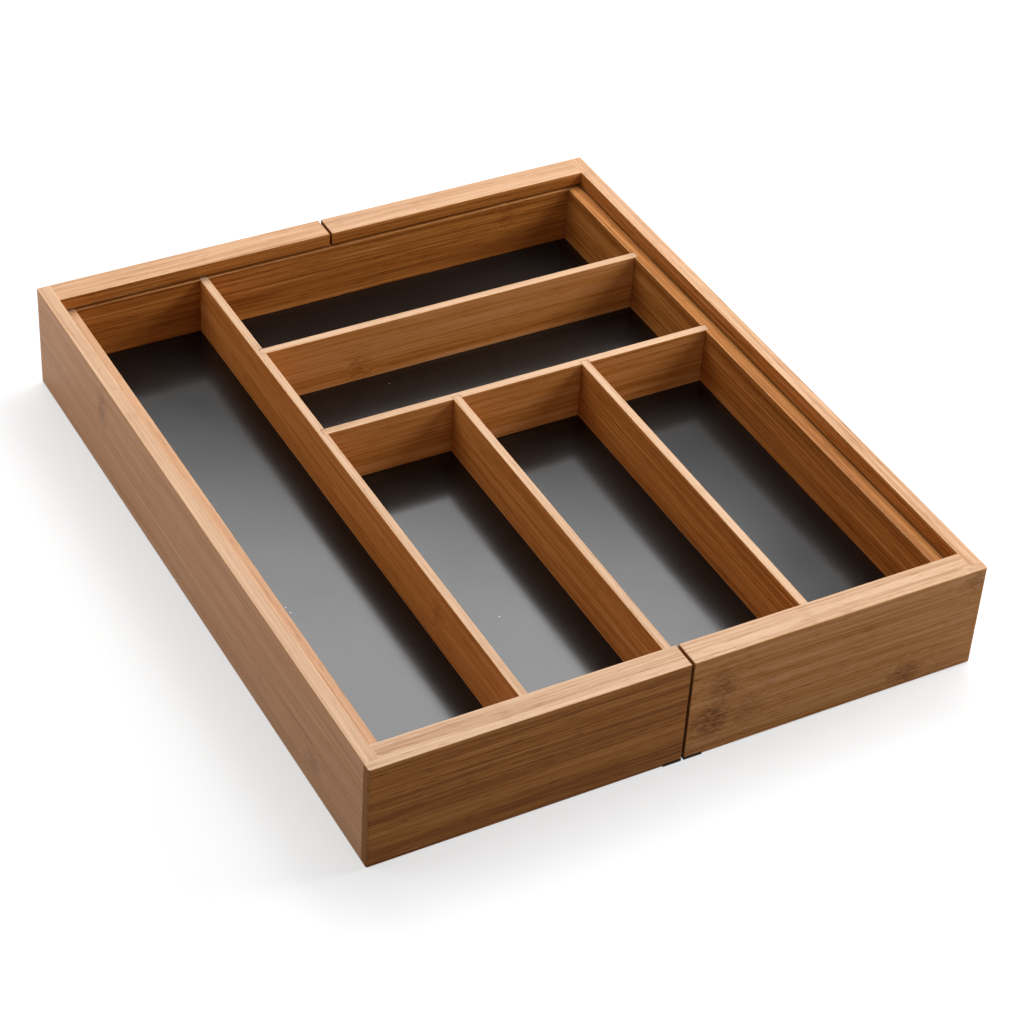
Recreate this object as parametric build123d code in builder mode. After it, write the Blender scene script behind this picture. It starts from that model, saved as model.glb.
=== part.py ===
"""Extending cutlery tray: an inner tray of six compartments, and two halves that slide out from under it.

Millimetres. The origin is in the middle of the base, +X points right along the front, +Y to the rear
and +Z up. The tray is modelled closed.
"""
from build123d import *
import os

# Closed tray, over all
tray_width = 350
tray_depth = 427
tray_height = 64.5

# Outer rails: boards on edge, whose front and rear tops reach inwards over the inner tray
rail_thickness = 8
lip_reach = 8
lip_thickness = 7.4
split_gap = 1.6
corner_radius = 1.2
edge_radius = 0.5

# Inner tray: four walls, and dividers that are flush with their tops
wall_thickness = 8
divider_thickness = 5
columns = 4

# Floors: black panels held in grooves
floor_thickness = 3
half_floor_rise = 5
inner_floor_rise = 8.2
floor_groove = 4

# Running fits between the inner tray and the halves
slide_gap = 0.8
lip_gap = 1.8
floor_gap = 0.3

# Joints between the boards: at the front corners the front rails lap over the side rails' ends
front_lap = 5.5
joint_play = 0.1
housing_depth = 2.5
housing_end_gap = 0.2
dowel_diameter = 4
dowel_length = 15
dowel_in_side = 5
dowel_in_lap = 3
dowel_margin = 7

# Stops: pins in the inner tray that run in blind grooves of the halves' rails
kept_overlap = 51
stop_inset = 26
stop_diameter = 4
stop_play = 0.3
stop_in_wall = 5
stop_reach = 2
stop_tip_gap = 0.4

# Pads under the halves: one at each rail's free end, one near each corner
pad_thickness = 2
pad_standout = 0.5
end_pad_length = 10.5
corner_pad_length = 20
corner_pad_width = 5
corner_pad_inset = 14

# How far a cut runs past the face it opens in
overrun = 1

# Plan of the rails
half_width = tray_width / 2
half_depth = tray_depth / 2
rail_inner_x = half_width - rail_thickness
rail_inner_y = half_depth - rail_thickness
lip_inner_y = rail_inner_y - lip_reach
side_front_y = half_depth - front_lap
rail_end_x = split_gap / 2

# Plan of the inner tray
inner_half_width = rail_inner_x - slide_gap
inner_half_depth = rail_inner_y - slide_gap
wall_inner_x = inner_half_width - wall_thickness
wall_inner_y = inner_half_depth - wall_thickness

# The dividers make every compartment's short side the same
compartment = (2 * wall_inner_x - (columns - 1) * divider_thickness) / columns
divider_pitch = compartment + divider_thickness
long_divider_x = -wall_inner_x + compartment + divider_thickness / 2
left_short_x = long_divider_x + divider_pitch
right_short_x = left_short_x + divider_pitch
rear_cross_y = wall_inner_y - compartment - divider_thickness / 2
middle_cross_y = rear_cross_y - divider_pitch

# Heights
rail_bottom = pad_standout
lip_bottom = tray_height - lip_thickness
half_floor_bottom = rail_bottom + half_floor_rise
half_floor_top = half_floor_bottom + floor_thickness
inner_bottom = half_floor_top + floor_gap
inner_top = lip_bottom - lip_gap
inner_floor_bottom = inner_bottom + inner_floor_rise
inner_floor_top = inner_floor_bottom + floor_thickness
stop_height = (inner_bottom + inner_top) / 2

# Slides
travel = inner_half_width - rail_end_x - kept_overlap
stop_x = inner_half_width - stop_inset


def around(centre, width):
    """The two limits of a width about its middle."""
    return centre - width / 2, centre + width / 2


def block(x, y, z, mode=Mode.ADD):
    """Adds, or cuts, a square-cornered block between two limits along each axis."""
    with BuildSketch(Plane.XY.offset(z[0])) as outline:
        with Locations(((x[0] + x[1]) / 2, (y[0] + y[1]) / 2)):
            Rectangle(x[1] - x[0], y[1] - y[0])
    extrude(outline.sketch, amount=z[1] - z[0], mode=mode)


def floor_cut(x, y, bottom):
    """Cuts the groove for a floor panel whose underside is at that height."""
    block(x, y, (bottom - joint_play, bottom + floor_thickness + joint_play), Mode.SUBTRACT)


def dowel_pair(plane, across, floor_top, board_top, play, mode):
    """Adds, or cuts with play, two dowels one above the other, from a plane along its normal."""
    with BuildSketch(plane) as ends:
        with Locations((across, floor_top + dowel_margin), (across, board_top - dowel_margin)):
            Circle(dowel_diameter / 2 + play)
    extrude(ends.sketch, amount=dowel_length + 2 * play, mode=mode)


def half_dowels(play=0, mode=Mode.ADD):
    """The left half's corner dowels: front lap to side rail, and side rail to rear rail."""
    along_side = Plane.XZ.offset(side_front_y + dowel_in_lap - dowel_length - play)
    across_side = Plane.YZ.offset(-rail_inner_x - dowel_in_side - play)
    dowel_pair(along_side, -half_width + rail_thickness / 2, half_floor_top, tray_height, play, mode)
    dowel_pair(across_side, half_depth - rail_thickness / 2, half_floor_top, tray_height, play, mode)


def inner_dowels(play=0, mode=Mode.ADD):
    """The inner tray's corner dowels on the left, from the side wall into the two end walls."""
    across_side = Plane.YZ.offset(-wall_inner_x - dowel_in_side - play)
    for end in (-1, 1):
        board_y = end * (inner_half_depth - wall_thickness / 2)
        dowel_pair(across_side, board_y, inner_floor_top, inner_top, play, mode)


def mirrored(piece, plane):
    """A copy of a piece on the other side of a plane."""
    with BuildPart() as copy:
        mirror(piece, about=plane)
    return copy.part


def ease_top(board, axis):
    """Rounds the two long top edges of a board that runs along an axis."""
    fillet(board.faces().sort_by(Axis.Z)[-1].edges().filter_by(axis), edge_radius)


# Left half: its three rails in one piece, whose edges were eased after they were glued up
with BuildPart() as left_rails:
    with BuildSketch(Plane.YZ.offset(-rail_inner_x)):
        with BuildLine():
            Polyline(
                (-half_depth, rail_bottom),
                (-rail_inner_y, rail_bottom),
                (-rail_inner_y, lip_bottom),
                (-lip_inner_y, lip_bottom),
                (-lip_inner_y, tray_height),
                (-half_depth, tray_height),
                close=True,
            )
        make_face()
    extrude(amount=rail_inner_x - rail_end_x)
    mirror(about=Plane.XZ)
    block((-half_width, -rail_inner_x), around(0, tray_depth), (rail_bottom, tray_height))
    fillet(left_rails.edges().filter_by(Axis.Z).group_by(Axis.X)[0], corner_radius)
    free_ends = left_rails.edges().filter_by(Axis.Z).group_by(Axis.X)[-1].sort_by(Axis.Y)
    fillet((free_ends[0], free_ends[-1]), edge_radius)
    stacked = left_rails.faces().sort_by(Axis.Z)
    fillet(stacked[0].edges() + stacked[-1].edges(), edge_radius)

    floor_cut(
        (-rail_inner_x - floor_groove, overrun),
        around(0, 2 * (rail_inner_y + floor_groove)),
        half_floor_bottom,
    )
    half_dowels(joint_play, Mode.SUBTRACT)
    for end in (-1, 1):
        # Groove that a stop pin runs in
        with BuildSketch(Plane.XZ.offset(-end * rail_inner_y)):
            with Locations((-stop_x + travel / 2, stop_height)):
                SlotCenterToCenter(travel, stop_diameter + 2 * stop_play)
        extrude(amount=-end * (stop_reach + stop_tip_gap), mode=Mode.SUBTRACT)
        # Notches for the pads, under the free end and near the corner
        block(
            (-rail_end_x - end_pad_length, -rail_end_x + overrun),
            around(end * half_depth, 2 * (rail_thickness + overrun)),
            (rail_bottom - overrun, pad_thickness),
            Mode.SUBTRACT,
        )
        block(
            around(-half_width + rail_thickness / 2, corner_pad_width),
            around(end * (half_depth - corner_pad_inset - corner_pad_length / 2), corner_pad_length),
            (rail_bottom - overrun, pad_thickness),
            Mode.SUBTRACT,
        )

# Where the joints part the three rails
rail_heights = (0, tray_height + overrun)
side_rail_x = (-half_width - overrun, -rail_inner_x)
side_rail_y = (-side_front_y, half_depth + overrun)

# Left half: side rail, which runs from the front rail's lap to the back
with BuildPart() as left_side_rail:
    add(left_rails.part)
    block(side_rail_x, side_rail_y, rail_heights, Mode.INTERSECT)

# Left half: front rail, an upright web with a lip along its top, and its lap over the side rail's end
with BuildPart() as left_front_rail:
    add(left_rails.part)
    block(side_rail_x, side_rail_y, rail_heights, Mode.SUBTRACT)
    block((-half_width - overrun, 0), (-half_depth - overrun, 0), rail_heights, Mode.INTERSECT)

# Left half: rear rail, which butts on the side rail
with BuildPart() as left_rear_rail:
    add(left_rails.part)
    block((-rail_inner_x, 0), (0, half_depth + overrun), rail_heights, Mode.INTERSECT)

# Left half: floor panel, which slides beneath the inner tray
with BuildPart() as left_floor:
    block(
        (-rail_inner_x - floor_groove + joint_play, -rail_end_x),
        around(0, 2 * (rail_inner_y + floor_groove - joint_play)),
        (half_floor_bottom, half_floor_top),
    )

# Left half: dowels in its two corners
with BuildPart() as left_corner_dowels:
    half_dowels()

# Left half: pads that it stands on
with BuildPart() as left_pads:
    block(
        (-rail_end_x - end_pad_length, -rail_end_x),
        (-half_depth, -rail_inner_y),
        (0, pad_thickness),
    )
    block(
        around(-half_width + rail_thickness / 2, corner_pad_width),
        (-half_depth + corner_pad_inset, -half_depth + corner_pad_inset + corner_pad_length),
        (0, pad_thickness),
    )
    mirror(about=Plane.XZ)

# Inner tray: left wall, which runs the full depth
with BuildPart() as inner_left_wall:
    block(
        (-inner_half_width, -wall_inner_x),
        (-inner_half_depth, inner_half_depth),
        (inner_bottom, inner_top),
    )
    ease_top(inner_left_wall, Axis.Y)
    floor_cut(
        (-wall_inner_x - floor_groove, -wall_inner_x + overrun),
        around(0, 2 * (wall_inner_y + floor_groove)),
        inner_floor_bottom,
    )
    inner_dowels(joint_play, Mode.SUBTRACT)

# Housings: slots above the floor that hold the dividers' ends, open at the top
housing_width = divider_thickness + 2 * joint_play
housing_heights = (inner_floor_top, inner_top + overrun)
divider_heights = (inner_floor_top, inner_top)
divider_entry = housing_depth - housing_end_gap

# Inner tray: right wall, with housings for the cross dividers
with BuildPart() as inner_right_wall:
    mirror(inner_left_wall.part, about=Plane.YZ)
    for cross_y in (rear_cross_y, middle_cross_y):
        block(
            (wall_inner_x - overrun, wall_inner_x + housing_depth),
            around(cross_y, housing_width),
            housing_heights,
            Mode.SUBTRACT,
        )


def end_wall():
    """The inner tray's front wall before its housings, with a floor groove and the stop pins' holes."""
    with BuildPart() as board:
        block((-wall_inner_x, 0), (-inner_half_depth, -wall_inner_y), (inner_bottom, inner_top))
        ease_top(board, Axis.X)
        floor_cut(
            (-wall_inner_x - overrun, 0),
            (-wall_inner_y - floor_groove, -wall_inner_y + overrun),
            inner_floor_bottom,
        )
        inner_dowels(joint_play, Mode.SUBTRACT)
        with BuildSketch(Plane.XZ.offset(inner_half_depth)):
            with Locations((-stop_x, stop_height)):
                Circle(stop_diameter / 2 + joint_play)
        extrude(amount=-stop_in_wall - joint_play, mode=Mode.SUBTRACT)
        mirror(about=Plane.YZ)
    return board.part


# Inner tray: front wall, with housings for three dividers
with BuildPart() as inner_front_wall:
    add(end_wall())
    for divider_x in (long_divider_x, left_short_x, right_short_x):
        block(
            around(divider_x, housing_width),
            (-wall_inner_y - housing_depth, -wall_inner_y + overrun),
            housing_heights,
            Mode.SUBTRACT,
        )

# Inner tray: rear wall, with a housing for the long divider
with BuildPart() as inner_rear_wall:
    mirror(end_wall(), about=Plane.XZ)
    block(
        around(long_divider_x, housing_width),
        (wall_inner_y - overrun, wall_inner_y + housing_depth),
        housing_heights,
        Mode.SUBTRACT,
    )

# Inner tray: floor panel
with BuildPart() as inner_floor:
    block(
        around(0, 2 * (wall_inner_x + floor_groove - joint_play)),
        around(0, 2 * (wall_inner_y + floor_groove - joint_play)),
        (inner_floor_bottom, inner_floor_top),
    )

# Inner tray: long divider, from wall to wall, with housings for the cross dividers
with BuildPart() as long_divider:
    block(
        around(long_divider_x, divider_thickness),
        around(0, 2 * (wall_inner_y + divider_entry)),
        divider_heights,
    )
    ease_top(long_divider, Axis.Y)
    long_divider_face = long_divider_x + divider_thickness / 2
    for cross_y in (rear_cross_y, middle_cross_y):
        block(
            (long_divider_face - housing_depth, long_divider_face + overrun),
            around(cross_y, housing_width),
            housing_heights,
            Mode.SUBTRACT,
        )


def cross_divider(cross_y):
    """Adds a board from the long divider to the right wall."""
    block(
        (long_divider_face - divider_entry, wall_inner_x + divider_entry),
        around(cross_y, divider_thickness),
        divider_heights,
    )


# Inner tray: rear cross divider
with BuildPart() as rear_cross_divider:
    cross_divider(rear_cross_y)
    ease_top(rear_cross_divider, Axis.X)

# Inner tray: middle cross divider, with housings for the short dividers in its front face
with BuildPart() as middle_cross_divider:
    cross_divider(middle_cross_y)
    ease_top(middle_cross_divider, Axis.X)
    middle_cross_face = middle_cross_y - divider_thickness / 2
    for divider_x in (left_short_x, right_short_x):
        block(
            around(divider_x, housing_width),
            (middle_cross_face - overrun, middle_cross_face + housing_depth),
            housing_heights,
            Mode.SUBTRACT,
        )


def short_divider(divider_x):
    """Adds a board from the front wall to the middle cross divider."""
    block(
        around(divider_x, divider_thickness),
        (-wall_inner_y - divider_entry, middle_cross_face + divider_entry),
        divider_heights,
    )


# Inner tray: the two short dividers
with BuildPart() as left_short_divider:
    short_divider(left_short_x)
    ease_top(left_short_divider, Axis.Y)

with BuildPart() as right_short_divider:
    short_divider(right_short_x)
    ease_top(right_short_divider, Axis.Y)

# Inner tray: dowels in its four corners
with BuildPart() as inner_corner_dowels:
    inner_dowels()
    mirror(about=Plane.YZ)

# Inner tray: stop pins, two in the front wall and two in the rear wall
with BuildPart() as stop_pins:
    with BuildSketch(Plane.XZ.offset(inner_half_depth - stop_in_wall)):
        with Locations((-stop_x, stop_height), (stop_x, stop_height)):
            Circle(stop_diameter / 2)
    extrude(amount=stop_in_wall + slide_gap + stop_reach)
    mirror(about=Plane.XZ)

inner_pieces = {
    "inner_left_wall": inner_left_wall,
    "inner_right_wall": inner_right_wall,
    "inner_front_wall": inner_front_wall,
    "inner_rear_wall": inner_rear_wall,
    "inner_floor": inner_floor,
    "long_divider": long_divider,
    "rear_cross_divider": rear_cross_divider,
    "middle_cross_divider": middle_cross_divider,
    "left_short_divider": left_short_divider,
    "right_short_divider": right_short_divider,
    "inner_corner_dowels": inner_corner_dowels,
    "stop_pins": stop_pins,
}
left_pieces = {
    "side_rail": left_side_rail.part,
    "front_rail": left_front_rail.part,
    "rear_rail": left_rear_rail.part,
    "floor": left_floor.part,
    "corner_dowels": left_corner_dowels.part,
    "pads": left_pads.part,
}

# The right half is the left half's mirror image
finished = {name: piece.part for name, piece in inner_pieces.items()}
for name, piece in left_pieces.items():
    finished["left_" + name] = piece
    finished["right_" + name] = mirrored(piece, Plane.YZ)

os.makedirs("parts", exist_ok=True)
for name, piece in finished.items():
    piece.label = name
    export_step(piece, f"parts/{name}.step")

print(f"compartment {compartment:.2f}, travel {travel:.2f}")
print(f"inner tray: wall top {inner_top:.2f}, floor {inner_floor_top:.2f}")
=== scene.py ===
"""Looks of the extending cutlery tray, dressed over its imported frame.

Metres in the scene, millimetres inside the materials. +X points right, +Y to the rear, +Z up.
"""
import math
import bpy
from mathutils import Euler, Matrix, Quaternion, Vector


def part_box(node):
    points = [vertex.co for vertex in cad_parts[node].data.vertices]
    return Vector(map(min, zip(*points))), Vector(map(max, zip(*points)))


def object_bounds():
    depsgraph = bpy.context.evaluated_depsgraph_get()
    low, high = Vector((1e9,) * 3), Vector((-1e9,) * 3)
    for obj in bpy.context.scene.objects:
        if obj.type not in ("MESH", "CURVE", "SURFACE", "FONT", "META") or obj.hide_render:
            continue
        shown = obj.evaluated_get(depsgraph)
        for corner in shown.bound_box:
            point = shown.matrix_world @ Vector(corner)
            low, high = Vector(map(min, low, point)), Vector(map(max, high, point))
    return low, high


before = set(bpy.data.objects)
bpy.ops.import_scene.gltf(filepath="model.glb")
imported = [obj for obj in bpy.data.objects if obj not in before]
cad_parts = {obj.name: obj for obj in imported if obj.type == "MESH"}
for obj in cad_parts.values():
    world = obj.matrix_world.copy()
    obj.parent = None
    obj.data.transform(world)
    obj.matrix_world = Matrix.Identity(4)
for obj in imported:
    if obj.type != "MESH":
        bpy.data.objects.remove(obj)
cad_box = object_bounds()

# Inside the materials, places are read in millimetres
mm_per_metre = 1000

# Bamboo: the boards are glued up from strips, and each strip has its own fibres
strip_width = 7.2
strip_shift = 613
glue_line_width = 0.16
wander_reach = 3.2
wander_waves = (1 / 120, 1 / 30, 1 / 30)
fine_waves = (1 / 70, 1 / 0.9, 1 / 0.9)
middle_waves = (1 / 240, 1 / 1.9, 1 / 1.9)
broad_waves = (1 / 420, 1 / 6, 1 / 6)
vein_waves = (1 / 260, 1 / 4.5, 1 / 4.5)
vein_reach = 0.07
fleck_waves = (1 / 9, 1 / 0.7, 1 / 0.7)
fleck_range = (0.6, 0.8)

# How much each layer of the grain lightens or darkens the board
fine_strength = 1.2
middle_strength = 0.75
broad_strength = 0.7
vein_strength = -0.13
fleck_strength = -0.25
glue_strength = -0.08
strip_strength = 0.10

# How much the middle fibres and the veins add to the fine fibres' relief
middle_relief = 0.6
vein_relief = -0.2

# Faint bands where the stem had its nodes
node_spacing = 290
node_reach = 5
node_wobble = 6
node_strength = 0.11

# Dark knuckles with a fringe of dashes, around which the fibres bend
fringe_waves = (1 / 12, 1 / 1.8, 1 / 1.8)
fringe_reach = 15
dash_waves = (1 / 3.5, 1 / 1.2, 1 / 1.2)
dash_range = (0.42, 0.56)
least_dash = 0.25
knuckle_core = 0.3
bend_waves = (1 / 9, 1 / 6, 1 / 6)
bend_reach = 7
bend_range = (0.4, 2.2)

# Bamboo colours, from the darkest fibre to the palest
fibre_colours = (
    (0.0, (0.230, 0.068, 0.010)),
    (0.36, (0.412, 0.148, 0.029)),
    (0.54, (0.520, 0.208, 0.048)),
    (1.0, (0.690, 0.335, 0.140)),
)
# Colours of the tops, painted paler than the sides as a painted sheen
painted_sheen_colours = (
    (0.0, (0.336, 0.180, 0.095)),
    (0.36, (0.455, 0.277, 0.164)),
    (0.54, (0.510, 0.328, 0.206)),
    (1.0, (0.600, 0.408, 0.274)),
)
knuckle_colour = (0.190, 0.052, 0.010)
end_grain_colour = (0.270, 0.115, 0.036)
worn_highlight_colour = (0.640, 0.370, 0.170)

# Bamboo finish: tops painted paler as a painted sheen, dry end grain, edges painted paler as slight wear and
# a painted highlight, and a thin satin varnish
painted_sheen_range = (0.6, 0.9)
end_range = (0.6, 0.8)
end_grain_strength = 0.75
wear_and_highlight_width = 0.9
wear_and_highlight_strength = 0.35
wear_and_highlight_waves = (1 / 9, 1 / 9, 1 / 9)
wear_and_highlight_unevenness = 1.2
varnish_roughness = 0.42
varnish_shine = 0.1
grain_gloss = -0.16
end_grain_dryness = 0.2
grain_depth = 0.05

# Black laminate on brown hardboard, with a little dust and three bits of lint
laminate_colours = ((0.002, 0.0033, 0.0036), (0.0045, 0.0057, 0.0060))
laminate_waves = (1 / 60, 1 / 60, 1 / 60)
laminate_roughness = 0.19
laminate_unevenness = 0.10
laminate_dust = {"Cell": 46, "Speck": 0.55}
laminate_dust_colour = (0.45, 0.45, 0.45)
lint_places = ((-140.4, -46.3, 20), (-139.7, -51.0, 20), (-43.5, -98.6, 20))
lint_reach = (0.5, 0.5, 0.5)
lint_core = 0.4
lint_strength = 0.7
lint_colour = (0.7, 0.7, 0.68)
hardboard_waves = (1 / 0.8, 1 / 0.8, 1 / 0.8)
hardboard_colours = ((0.10, 0.052, 0.026), (0.21, 0.120, 0.066))
hardboard_roughness = 0.8
laminate_range = (0.3, 0.7)
peel_waves = (1 / 5, 1 / 5, 1 / 5)
peel_depth = 0.004

# Dark rubber pads
rubber_waves = (1 / 0.5, 1 / 0.5, 1 / 0.5)
rubber_colours = ((0.030, 0.017, 0.010), (0.070, 0.043, 0.028))
rubber_dust = {"Cell": 2.5, "Speck": 0.3}
rubber_dust_colour = (0.20, 0.18, 0.16)
rubber_roughness = 0.75
rubber_unevenness = 0.3
rubber_shine = 0.2
rubber_depth = 0.04

# Turned wood of the dowels and pins
turned_waves = (1 / 6, 1 / 0.7, 1 / 0.7)
turned_colours = ((0.42, 0.27, 0.13), (0.72, 0.54, 0.34))
turned_roughness = 0.55
turned_unevenness = 0.2
turned_depth = 0.03

# Dust: the share of its cells that stay clean, and how much a speck hides
clean_share = 0.6
dust_strength = 0.4

# Studio: the floor's colour in the picture, the darker one that lights the tray, and the world's
floor_size = 9
floor_colour = (0.90, 0.90, 0.90)
floor_bounce = (0.22, 0.22, 0.22)
floor_glow = 0.6
floor_roughness = 0.9
floor_shine = 0.1
world_colour = (0.10, 0.10, 0.10, 1)

# A lamp's watts for each square metre of its face and each unit of its brightness
watts_per_area = 4


def feed(tree, socket, value):
    """Links a socket to another node's output, or sets its value."""
    if isinstance(value, bpy.types.NodeSocket):
        tree.links.new(value, socket)
    else:
        socket.default_value = value


def maths(tree, operation, *terms):
    """The result of a Math node."""
    step = tree.nodes.new("ShaderNodeMath")
    step.operation = operation
    for socket, term in zip(step.inputs, terms):
        feed(tree, socket, term)
    return step.outputs["Value"]


def vector_step(tree, operation, *terms):
    """The outputs of a Vector Math node."""
    step = tree.nodes.new("ShaderNodeVectorMath")
    step.operation = operation
    for socket, term in zip(step.inputs, terms):
        feed(tree, socket, term)
    return step.outputs


def vector_maths(tree, operation, *terms):
    """The resulting vector of a Vector Math node."""
    return vector_step(tree, operation, *terms)["Vector"]


def parts_of(tree, vector):
    """A vector's three numbers."""
    step = tree.nodes.new("ShaderNodeSeparateXYZ")
    feed(tree, step.inputs["Vector"], vector)
    return step.outputs["X"], step.outputs["Y"], step.outputs["Z"]


def vector_of(tree, *numbers):
    """A vector made of three numbers."""
    step = tree.nodes.new("ShaderNodeCombineXYZ")
    for socket, number in zip(step.inputs, numbers):
        feed(tree, socket, number)
    return step.outputs["Vector"]


def ranged(tree, value, low, high, to_low=0, to_high=1):
    """A value taken smoothly from one range to another, and held at its ends."""
    step = tree.nodes.new("ShaderNodeMapRange")
    step.interpolation_type = "SMOOTHSTEP"
    for label, number in (("Value", value), ("From Min", low), ("From Max", high)):
        feed(tree, step.inputs[label], number)
    feed(tree, step.inputs["To Min"], to_low)
    feed(tree, step.inputs["To Max"], to_high)
    return step.outputs["Result"]


def clouds(tree, point, waves, detail=2):
    """Noise from 0 to 1 over a point, with so many waves per millimetre along each direction."""
    texture = tree.nodes.new("ShaderNodeTexNoise")
    texture.inputs["Scale"].default_value = 1
    texture.inputs["Detail"].default_value = detail
    feed(tree, texture.inputs["Vector"], vector_maths(tree, "MULTIPLY", point, waves))
    return texture.outputs["Fac"]


def swing(tree, value, amount):
    """How far a noise value leans from its middle, times an amount."""
    return maths(tree, "MULTIPLY", maths(tree, "SUBTRACT", value, 0.5), amount)


def reach_share(tree, point, centre, reach):
    """How far a point is from a centre, as a share of a reach along each direction."""
    offset = vector_maths(tree, "DIVIDE", vector_maths(tree, "SUBTRACT", point, centre), reach)
    return vector_step(tree, "LENGTH", offset)["Value"]


def total(tree, *terms):
    """The sum of several values."""
    result = terms[0]
    for term in terms[1:]:
        result = maths(tree, "ADD", result, term)
    return result


def blended(tree, share, first, second):
    """A colour between two colours."""
    step = tree.nodes.new("ShaderNodeMix")
    step.data_type = "RGBA"
    feed(tree, step.inputs["Factor"], share)
    for label, colour in (("A", first), ("B", second)):
        socket = next(s for s in step.inputs if s.name == label and s.type == "RGBA")
        feed(tree, socket, colour if isinstance(colour, bpy.types.NodeSocket) else (*colour, 1))
    return next(s for s in step.outputs if s.type == "RGBA")


def ramped(tree, value, stops):
    """A colour picked along a row of colours."""
    step = tree.nodes.new("ShaderNodeValToRGB")
    ramp = step.color_ramp
    for place, _ in stops[2:]:
        ramp.elements.new(place)
    for element, (place, colour) in zip(ramp.elements, stops):
        element.position = place
        element.color = (*colour, 1)
    feed(tree, step.inputs["Fac"], value)
    return step.outputs["Color"]


def effect(name, inputs, outputs):
    """A new shader node group, with its input sockets and its result sockets by name."""
    group = bpy.data.node_groups.new(name, "ShaderNodeTree")
    for label, kind in inputs.items():
        group.interface.new_socket(name=label, in_out="INPUT", socket_type="NodeSocket" + kind)
    for label, kind in outputs.items():
        group.interface.new_socket(name=label, in_out="OUTPUT", socket_type="NodeSocket" + kind)
    given = group.nodes.new("NodeGroupInput").outputs
    result = group.nodes.new("NodeGroupOutput").inputs
    return group, given, result


def placed(tree, group, **feeds):
    """Puts a node group into a material and gives back its outputs."""
    step = tree.nodes.new("ShaderNodeGroup")
    step.node_tree = group
    for label, value in feeds.items():
        feed(tree, step.inputs[label], value)
    return step.outputs


def grain_effect():
    """Strips, fibres and stem nodes of a board. Board holds along, across and through, in mm."""
    group, given, result = effect(
        "bamboo grain",
        {"Board": "Vector", "Streaks": "Float", "Bend": "Float"},
        {"Tone": "Float", "Node": "Float", "Height": "Float"},
    )
    _, across, _ = parts_of(group, given["Board"])
    strip_place = maths(group, "DIVIDE", across, strip_width)
    strip = maths(group, "FLOOR", strip_place)
    chance = group.nodes.new("ShaderNodeTexWhiteNoise")
    chance.noise_dimensions = "1D"
    feed(group, chance.inputs["W"], strip)
    luck = chance.outputs["Value"]
    shift = vector_of(group, maths(group, "MULTIPLY", luck, strip_shift), 0, 0)
    own = vector_maths(group, "ADD", given["Board"], shift)

    # Fibres wander a little as they run along the board, and bend around the knuckles
    wander = total(group, swing(group, clouds(group, own, wander_waves), wander_reach), given["Bend"])
    point = vector_maths(group, "ADD", own, vector_of(group, 0, wander, wander))
    fine = clouds(group, point, fine_waves, detail=3)
    middle = clouds(group, point, middle_waves)
    broad = clouds(group, point, broad_waves)
    fleck = ranged(group, clouds(group, point, fleck_waves, detail=0), *fleck_range)

    # Veins: thin dark lines where a long drawn-out noise crosses its middle
    drawn_out = clouds(group, own, vein_waves, detail=1)
    from_middle = maths(group, "ABSOLUTE", maths(group, "SUBTRACT", drawn_out, 0.5))
    vein = ranged(group, from_middle, 0, vein_reach, 1, 0)

    # Dark glue lines between the strips
    in_strip = maths(group, "FRACT", strip_place)
    to_edge = maths(group, "MINIMUM", in_strip, maths(group, "SUBTRACT", 1, in_strip))
    glue = ranged(group, to_edge, 0, glue_line_width / strip_width, 1, 0)

    # Stem nodes: a faint band across each strip
    own_along, _, _ = parts_of(group, point)
    bent_along = total(group, own_along, swing(group, clouds(group, point, middle_waves), node_wobble))
    in_stem = maths(group, "FRACT", maths(group, "DIVIDE", bent_along, node_spacing))
    from_node = maths(group, "ABSOLUTE", maths(group, "SUBTRACT", in_stem, 0.5))
    node = ranged(group, from_node, 0, node_reach / node_spacing, 1, 0)

    streaky = total(
        group,
        swing(group, fine, fine_strength),
        swing(group, middle, middle_strength),
        swing(group, broad, broad_strength),
        maths(group, "MULTIPLY", vein, vein_strength),
        maths(group, "MULTIPLY", fleck, fleck_strength),
        maths(group, "MULTIPLY", glue, glue_strength),
    )
    streaky = maths(group, "MULTIPLY", streaky, given["Streaks"])
    feed(group, result["Tone"], total(group, 0.5, streaky, swing(group, luck, strip_strength)))
    feed(group, result["Node"], node)
    middle_height = swing(group, middle, middle_relief)
    height = total(group, fine, middle_height, maths(group, "MULTIPLY", vein, vein_relief))
    feed(group, result["Height"], height)
    return group


def knuckle_effect():
    """A dark, fringed stem knuckle around one place of a board, and the bend of the fibres near it."""
    group, given, result = effect(
        "bamboo knuckle",
        {"Board": "Vector", "Centre": "Vector", "Reach": "Vector"},
        {"Knuckle": "Float", "Bend": "Float"},
    )
    fringe = swing(group, clouds(group, given["Board"], fringe_waves), fringe_reach)
    ragged = vector_maths(group, "ADD", given["Board"], vector_of(group, fringe, 0, 0))
    ragged_share = reach_share(group, ragged, given["Centre"], given["Reach"])
    patch = ranged(group, ragged_share, knuckle_core, 1, 1, 0)
    dashes = ranged(group, clouds(group, ragged, dash_waves), *dash_range, least_dash, 1)
    feed(group, result["Knuckle"], maths(group, "MULTIPLY", patch, dashes))

    share = reach_share(group, given["Board"], given["Centre"], given["Reach"])
    near = ranged(group, share, *bend_range, 1, 0)
    bend = swing(group, clouds(group, given["Board"], bend_waves), bend_reach)
    feed(group, result["Bend"], maths(group, "MULTIPLY", near, bend))
    return group


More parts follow.
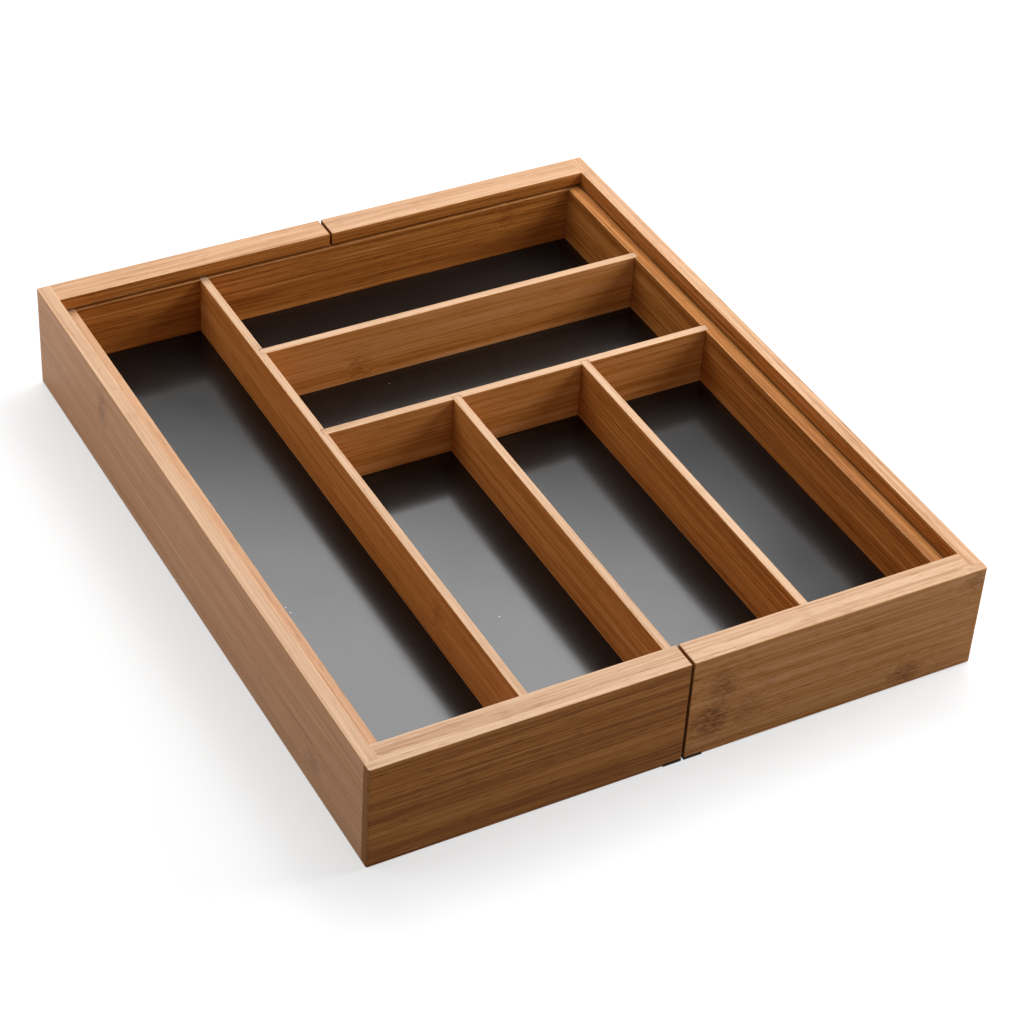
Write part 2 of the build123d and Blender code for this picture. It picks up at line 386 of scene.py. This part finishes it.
def edge_effect():
    """Wear and a painted highlight along the edges of a box-shaped board, from its lowest and highest
    corners, in mm.
    """
    group, given, result = effect(
        "worn and highlit edges",
        {"Point": "Vector", "Lowest": "Vector", "Highest": "Vector"},
        {"Edge": "Float"},
    )
    below = vector_maths(group, "SUBTRACT", given["Point"], given["Lowest"])
    above = vector_maths(group, "SUBTRACT", given["Highest"], given["Point"])
    a, b, c = parts_of(group, vector_maths(group, "MINIMUM", below, above))
    # The second smallest of the three distances to the faces is the distance to the nearest edge
    lesser = maths(group, "MINIMUM", a, b)
    greater = maths(group, "MAXIMUM", a, b)
    second = maths(group, "MAXIMUM", lesser, maths(group, "MINIMUM", greater, c))
    unevenness = swing(group, clouds(group, given["Point"], wear_and_highlight_waves), wear_and_highlight_unevenness)
    uneven = maths(group, "ADD", second, unevenness)
    feed(group, result["Edge"], ranged(group, uneven, 0, wear_and_highlight_width, 1, 0))
    return group


def dust_effect():
    """Sparse pale specks, one at most in each cell of a given size in mm."""
    group, given, result = effect(
        "dust specks",
        {"Point": "Vector", "Cell": "Float", "Speck": "Float"},
        {"Dust": "Float"},
    )
    cells = group.nodes.new("ShaderNodeTexVoronoi")
    cells.inputs["Scale"].default_value = 1
    size = vector_of(group, given["Cell"], given["Cell"], given["Cell"])
    feed(group, cells.inputs["Vector"], vector_maths(group, "DIVIDE", given["Point"], size))
    reach = maths(group, "DIVIDE", given["Speck"], given["Cell"])
    chance, _, _ = parts_of(group, cells.outputs["Color"])
    kept = maths(group, "GREATER_THAN", chance, clean_share)
    speck = ranged(group, cells.outputs["Distance"], 0, reach, 1, 0)
    feed(group, result["Dust"], maths(group, "MULTIPLY", speck, kept))
    return group


grain = grain_effect()
knuckle = knuckle_effect()
worn_highlit_edges = edge_effect()
dust_specks = dust_effect()


def new_material(name):
    """A material with nothing but its shader, the place of each point in mm, and its facing."""
    material = bpy.data.materials.new(name)
    material.use_nodes = True
    tree = material.node_tree
    shader = tree.nodes["Principled BSDF"]
    spot = tree.nodes.new("ShaderNodeTexCoord")
    point = vector_maths(tree, "MULTIPLY", spot.outputs["Object"], (mm_per_metre,) * 3)
    return material, tree, shader, point, spot.outputs["Normal"]


def raise_surface(tree, shader, height, depth):
    """Feeds a bump of that depth, in mm, to the shader."""
    bump = tree.nodes.new("ShaderNodeBump")
    bump.inputs["Distance"].default_value = depth / mm_per_metre
    feed(tree, bump.inputs["Height"], height)
    feed(tree, shader.inputs["Normal"], bump.outputs["Normal"])


def wear_and_highlight_box(node, along):
    """A board's box in mm, drawn out along its fibres to the whole tray's, so its joints get neither wear
    nor painted highlight.
    """
    axis = "XYZ".index(along)
    low, high = (corner * mm_per_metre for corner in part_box(node))
    low[axis], high[axis] = (corner[axis] * mm_per_metre for corner in cad_box)
    return low, high


def bamboo(node, along, tone, streaks, pale, offset, knuckles, shine=varnish_shine):
    """Bamboo for one board, its fibres along X or Y. Knuckles are (centre, reach, strength), in mm."""
    material, tree, shader, point, facing = new_material("bamboo_" + node)
    x, y, z = parts_of(tree, point)
    face_x, face_y, face_up = parts_of(tree, facing)
    if along == "X":
        board, end_facing = vector_of(tree, x, z, y), face_x
    else:
        board, end_facing = vector_of(tree, y, z, x), face_y
    marks = [placed(tree, knuckle, Board=board, Centre=centre, Reach=reach) for centre, reach, _ in knuckles]
    bend = total(tree, 0, *(mark["Bend"] for mark in marks))
    moved = vector_maths(tree, "ADD", board, offset)
    fibres = placed(tree, grain, Board=moved, Streaks=streaks, Bend=bend)

    # Painted sheen: the tops are painted paler than the sides for the light they catch, as much as the
    # board's paleness gives
    tones = maths(tree, "ADD", fibres["Tone"], tone)
    sheen_tones = maths(tree, "ADD", fibres["Tone"], (pale - 1) / 2)
    sheen_mask = ranged(tree, face_up, *painted_sheen_range, 0, pale)
    colour = blended(tree, sheen_mask, ramped(tree, tones, fibre_colours), ramped(tree, sheen_tones, painted_sheen_colours))
    colour = blended(tree, maths(tree, "MULTIPLY", fibres["Node"], node_strength), colour, knuckle_colour)
    for mark, (_, _, strength) in zip(marks, knuckles):
        colour = blended(tree, maths(tree, "MULTIPLY", mark["Knuckle"], strength), colour, knuckle_colour)
    end = ranged(tree, maths(tree, "ABSOLUTE", end_facing), *end_range)
    colour = blended(tree, maths(tree, "MULTIPLY", end, end_grain_strength), colour, end_grain_colour)
    # Paler edges: partly wear, partly a painted highlight for the light the eased edges catch
    low, high = wear_and_highlight_box(node, along)
    edge = placed(tree, worn_highlit_edges, Point=point, Lowest=low, Highest=high)["Edge"]
    colour = blended(tree, maths(tree, "MULTIPLY", edge, wear_and_highlight_strength), colour, worn_highlight_colour)
    feed(tree, shader.inputs["Base Color"], colour)

    gloss = swing(tree, fibres["Height"], grain_gloss)
    rough = total(tree, varnish_roughness, gloss, maths(tree, "MULTIPLY", end, end_grain_dryness))
    feed(tree, shader.inputs["Roughness"], rough)
    shader.inputs["Specular IOR Level"].default_value = shine
    raise_surface(tree, shader, fibres["Height"], grain_depth)
    return material


def black_laminate():
    """Black laminate with a satin shine, on brown hardboard that shows underneath."""
    material, tree, shader, point, facing = new_material("black_laminate")
    _, _, face_up = parts_of(tree, facing)
    cloth = clouds(tree, point, laminate_waves, detail=4)
    black = blended(tree, cloth, *laminate_colours)
    dust = placed(tree, dust_specks, Point=point, **laminate_dust)["Dust"]
    dust = maths(tree, "MULTIPLY", dust, dust_strength)
    black = blended(tree, dust, black, laminate_dust_colour)
    for place in lint_places:
        share = reach_share(tree, point, place, lint_reach)
        black = blended(tree, ranged(tree, share, lint_core, 1, lint_strength, 0), black, lint_colour)
    brown = blended(tree, clouds(tree, point, hardboard_waves, detail=4), *hardboard_colours)
    faced = ranged(tree, face_up, *laminate_range)
    feed(tree, shader.inputs["Base Color"], blended(tree, faced, brown, black))
    satin = total(tree, laminate_roughness, swing(tree, cloth, laminate_unevenness), dust)
    feed(tree, shader.inputs["Roughness"], ranged(tree, faced, 0, 1, hardboard_roughness, satin))
    raise_surface(tree, shader, clouds(tree, point, peel_waves), peel_depth)
    return material


def dark_rubber():
    """Matt dark rubber, a little dusty, with moulding grain."""
    material, tree, shader, point, _ = new_material("dark_rubber")
    speckle = clouds(tree, point, rubber_waves, detail=3)
    dust = placed(tree, dust_specks, Point=point, **rubber_dust)["Dust"]
    dust = maths(tree, "MULTIPLY", dust, dust_strength)
    colour = blended(tree, dust, blended(tree, speckle, *rubber_colours), rubber_dust_colour)
    feed(tree, shader.inputs["Base Color"], colour)
    rough = total(tree, rubber_roughness, swing(tree, speckle, rubber_unevenness))
    feed(tree, shader.inputs["Roughness"], rough)
    shader.inputs["Specular IOR Level"].default_value = rubber_shine
    raise_surface(tree, shader, speckle, rubber_depth)
    return material


def turned_wood():
    """Plain pale wood of the dowels and pins."""
    material, tree, shader, point, _ = new_material("turned_wood")
    veins = clouds(tree, point, turned_waves, detail=3)
    feed(tree, shader.inputs["Base Color"], blended(tree, veins, *turned_colours))
    rough = total(tree, turned_roughness, swing(tree, veins, turned_unevenness))
    feed(tree, shader.inputs["Roughness"], rough)
    raise_surface(tree, shader, veins, turned_depth)
    return material


# Boards: the way the fibres run, tone, streaks, paleness of the tops (a painted sheen), place in the stem,
# knuckles, shine
# The tones are partly the boards' own and partly painted light, set to the light each board gets: darker on
# the rear rails and the inner rear and right walls, where shade falls, lighter on the right front rail than
# on the left one, and lighter on the left side rail for its painted sheen
boards = {
    "left_side_rail": (
        "Y", 0.10, 0.5, 0.9, (40, 3, 11),
        [((117, 47, -175), (9, 16, 9), 0.7), ((-154, 18, -175), (9, 9, 9), 0.4)],
        0.24,
    ),
    "left_front_rail": ("X", -0.16, 1.05, 1, (511, 1, 31), []),
    "left_rear_rail": ("X", -0.12, 0.9, 0.8, (913, 5, 57), []),
    "right_side_rail": ("Y", -0.05, 1.1, 0.85, (1377, 2, 71), []),
    "right_front_rail": (
        "X", 0.29, 1.05, 1, (1791, 4, 93),
        [
            ((20, 43, -213), (12, 14, 9), 0.6), ((14, 22, -213), (15, 15, 9), 0.9),
            ((36, 22, -213), (14, 13, 9), 0.35), ((132, 9, -213), (15, 9, 9), 0.7),
            ((168, 58, -213), (9, 9, 9), 0.45),
        ],
    ),
    "right_rear_rail": ("X", -0.12, 0.8, 0.9, (2203, 6, 113), []),
    "inner_left_wall": ("Y", 0, 0.75, 0.8, (2617, 1, 131), []),
    # Low paleness on the inner right, front and rear walls is painted shade, for the shadow the rails cast
    # on their tops
    "inner_right_wall": ("Y", -0.11, 0.8, 0.12, (3019, 3, 157), []),
    "inner_front_wall": ("X", 0, 0.75, 0.3, (3433, 5, 171), []),
    "inner_rear_wall": ("X", -0.17, 0.9, 0.1, (3847, 2, 193), [((117, 47, 197), (8, 9, 8), 0.5)]),
    "long_divider": ("Y", 0.05, 0.75, 1, (4261, 4, 211), [((-104, 41, -83), (8, 9, 8), 0.4)]),
    "rear_cross_divider": ("X", 0.10, 0.7, 1, (4673, 6, 233), [((-21, 30, 116), (7, 12, 8), 0.5)]),
    "middle_cross_divider": ("X", 0.09, 0.75, 1, (5081, 1, 257), []),
    "left_short_divider": ("Y", 0.07, 0.75, 1, (5503, 3, 271), []),
    "right_short_divider": ("Y", -0.07, 0.75, 1, (5923, 5, 293), []),
}
for node, choices in boards.items():
    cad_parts[node].material_slots[0].material = bamboo(node, *choices)

plain_finishes = {
    black_laminate(): ("inner_floor", "left_floor", "right_floor"),
    dark_rubber(): ("left_pads", "right_pads"),
    turned_wood(): ("inner_corner_dowels", "left_corner_dowels", "right_corner_dowels", "stop_pins"),
}
for finish, nodes in plain_finishes.items():
    for node in nodes:
        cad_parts[node].material_slots[0].material = finish


def studio_floor():
    """A white floor that keeps the tray's shadow."""
    bpy.ops.mesh.primitive_plane_add(size=floor_size, location=(0, 0, 0))
    floor = bpy.context.object
    floor.name = "studio_floor"
    material = bpy.data.materials.new("white_floor")
    material.use_nodes = True
    tree = material.node_tree
    lit = tree.nodes["Principled BSDF"]
    lit.inputs["Roughness"].default_value = floor_roughness
    lit.inputs["Specular IOR Level"].default_value = floor_shine
    glow = tree.nodes.new("ShaderNodeEmission")
    glow.inputs["Strength"].default_value = 1
    ray = tree.nodes.new("ShaderNodeLightPath")
    seen = maths(tree, "MAXIMUM", ray.outputs["Is Camera Ray"], ray.outputs["Is Glossy Ray"])
    seen = maths(tree, "MAXIMUM", seen, ray.outputs["Is Transmission Ray"])
    feed(tree, lit.inputs["Base Color"], blended(tree, seen, floor_bounce, floor_colour))
    mix = tree.nodes.new("ShaderNodeMixShader")
    feed(tree, mix.inputs["Fac"], maths(tree, "MULTIPLY", seen, floor_glow))
    feed(tree, mix.inputs[1], lit.outputs["BSDF"])
    feed(tree, mix.inputs[2], glow.outputs["Emission"])
    feed(tree, tree.nodes["Material Output"].inputs["Surface"], mix.outputs["Shader"])
    floor.data.materials.append(material)


def softbox(name, azimuth, elevation, distance, width, height, brightness, roll):
    """An area lamp that faces the tray, its azimuth from the rear towards the right, in degrees."""
    turn, rise = math.radians(azimuth), math.radians(elevation)
    direction = Vector((math.sin(turn) * math.cos(rise), math.cos(turn) * math.cos(rise), math.sin(rise)))
    lamp = bpy.data.lights.new(name, "AREA")
    lamp.shape = "RECTANGLE"
    lamp.size = width
    lamp.size_y = height
    lamp.energy = watts_per_area * width * height * brightness
    holder = bpy.data.objects.new(name, lamp)
    holder.location = direction * distance
    facing = direction.to_track_quat("Z", "Y") @ Quaternion((0, 0, 1), math.radians(roll))
    holder.rotation_euler = facing.to_euler()
    bpy.context.scene.collection.objects.link(holder)


bpy.ops.object.select_all(action="DESELECT")
studio_floor()
# Softboxes: azimuth, elevation, distance, width, height, brightness and roll
softboxes = {
    "softbox_rear": (18.4, 55, 1.756, 1.08, 0.984, 4.75, -9),
    "softbox_high": (65, 60, 1.5, 0.7, 0.7, 6.6, 0),
    "softbox_right": (105, 35, 1.3, 0.5, 0.5, 12.0, 0),
    "softbox_left": (-70, 32, 1.1, 0.62, 0.62, 2.3, 0),
    "softbox_front": (180, 35, 1.3, 0.5, 0.5, 1.5, 0),
}
for name, values in softboxes.items():
    softbox(name, *values)

world = bpy.data.worlds.new("studio")
world.use_nodes = True
world.node_tree.nodes["Background"].inputs["Color"].default_value = world_colour
bpy.context.scene.world = world

# Camera: fitted to the straight outer edges of the photographed tray
lens = bpy.data.cameras.new("photo_camera")
lens.lens = 100.25
lens.sensor_width = 36
camera = bpy.data.objects.new("photo_camera", lens)
camera.location = (-0.60436, -1.05572, 0.98323)
camera.rotation_euler = Euler(map(math.radians, (51.092, -2.982, -28.100)))
bpy.context.scene.collection.objects.link(camera)
bpy.context.scene.camera = camera

bpy.context.scene.view_settings.view_transform = "Standard"
